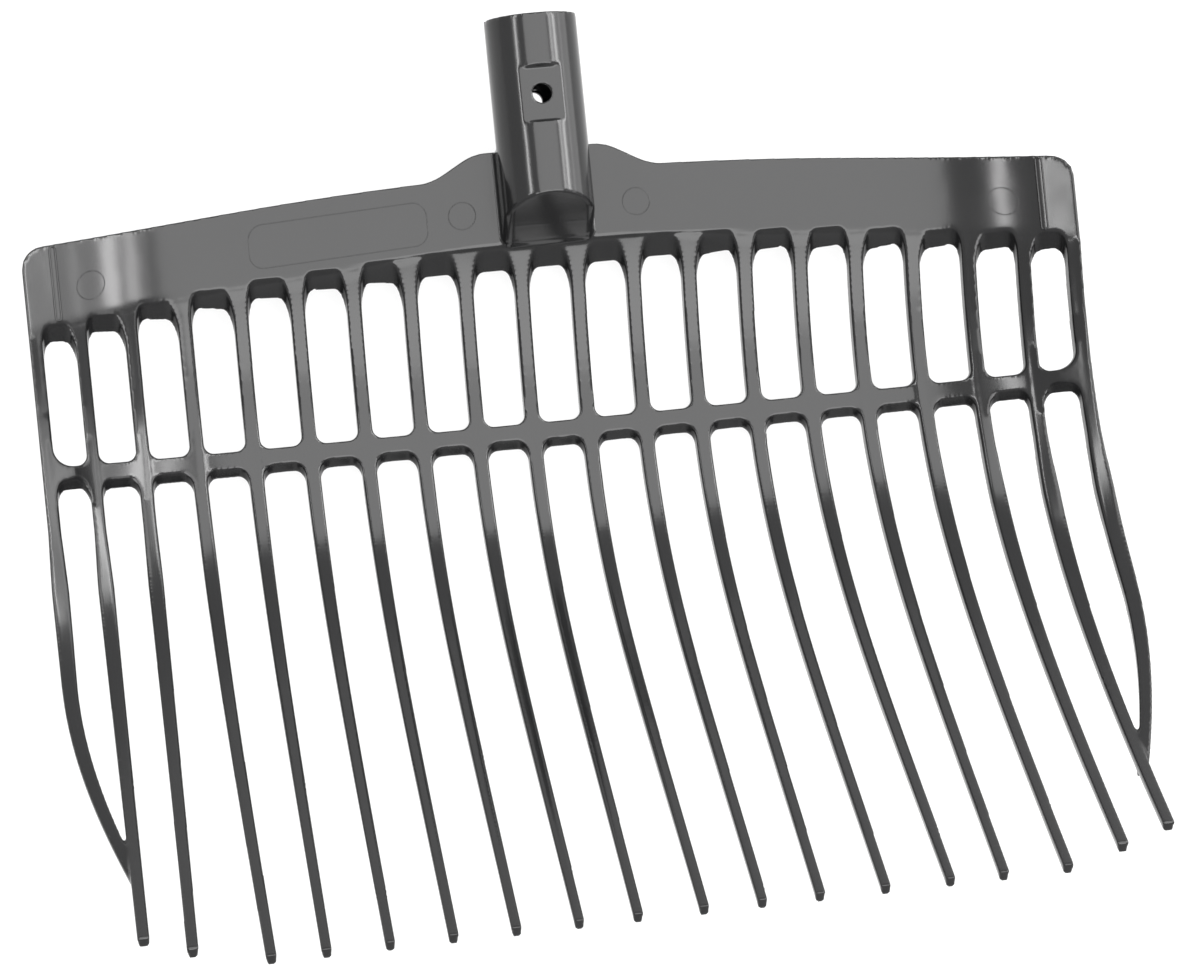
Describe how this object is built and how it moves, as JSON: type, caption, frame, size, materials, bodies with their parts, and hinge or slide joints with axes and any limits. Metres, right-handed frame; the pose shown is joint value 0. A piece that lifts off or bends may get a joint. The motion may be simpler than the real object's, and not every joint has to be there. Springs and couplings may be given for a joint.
{
  "type": "bedding fork head",
  "caption": "Basket-shaped head of a bedding and manure fork: slotted back plate with raised wings, curved tines joined by a crossbar, and a round socket for a pole handle.",
  "frame": {"origin": "centre of the handle socket's mouth", "axes": "+Y out of the socket along the handle's axis, +Z out of the front of the back plate, X across the basket"},
  "size_m": [0.368, 0.3038, 0.1686],
  "materials": {
    "moulded_plastic": "semi-gloss moulded plastic, dark grey"
  },
  "bodies": {
    "root": {"handle_socket": "moulded_plastic", "back_plate_left": "moulded_plastic", "back_plate_right": "moulded_plastic", "tine_01": "moulded_plastic", "tine_02": "moulded_plastic", "tine_03": "moulded_plastic", "tine_04": "moulded_plastic", "tine_05": "moulded_plastic", "tine_06": "moulded_plastic", "tine_07": "moulded_plastic", "tine_08": "moulded_plastic", "tine_09": "moulded_plastic", "tine_10": "moulded_plastic", "tine_11": "moulded_plastic", "tine_12": "moulded_plastic", "tine_13": "moulded_plastic", "tine_14": "moulded_plastic", "tine_15": "moulded_plastic", "tine_16": "moulded_plastic", "tine_17": "moulded_plastic", "tine_18": "moulded_plastic", "tine_19": "moulded_plastic", "tine_20": "moulded_plastic", "cross_web_01": "moulded_plastic", "cross_web_02": "moulded_plastic", "cross_web_03": "moulded_plastic", "cross_web_04": "moulded_plastic", "cross_web_05": "moulded_plastic", "cross_web_06": "moulded_plastic", "cross_web_07": "moulded_plastic", "cross_web_08": "moulded_plastic", "cross_web_09": "moulded_plastic", "cross_web_10": "moulded_plastic", "cross_web_11": "moulded_plastic", "cross_web_12": "moulded_plastic", "cross_web_13": "moulded_plastic", "cross_web_14": "moulded_plastic", "cross_web_15": "moulded_plastic", "cross_web_16": "moulded_plastic", "cross_web_17": "moulded_plastic", "cross_web_18": "moulded_plastic", "cross_web_19": "moulded_plastic"}
  },
  "joints": []
}
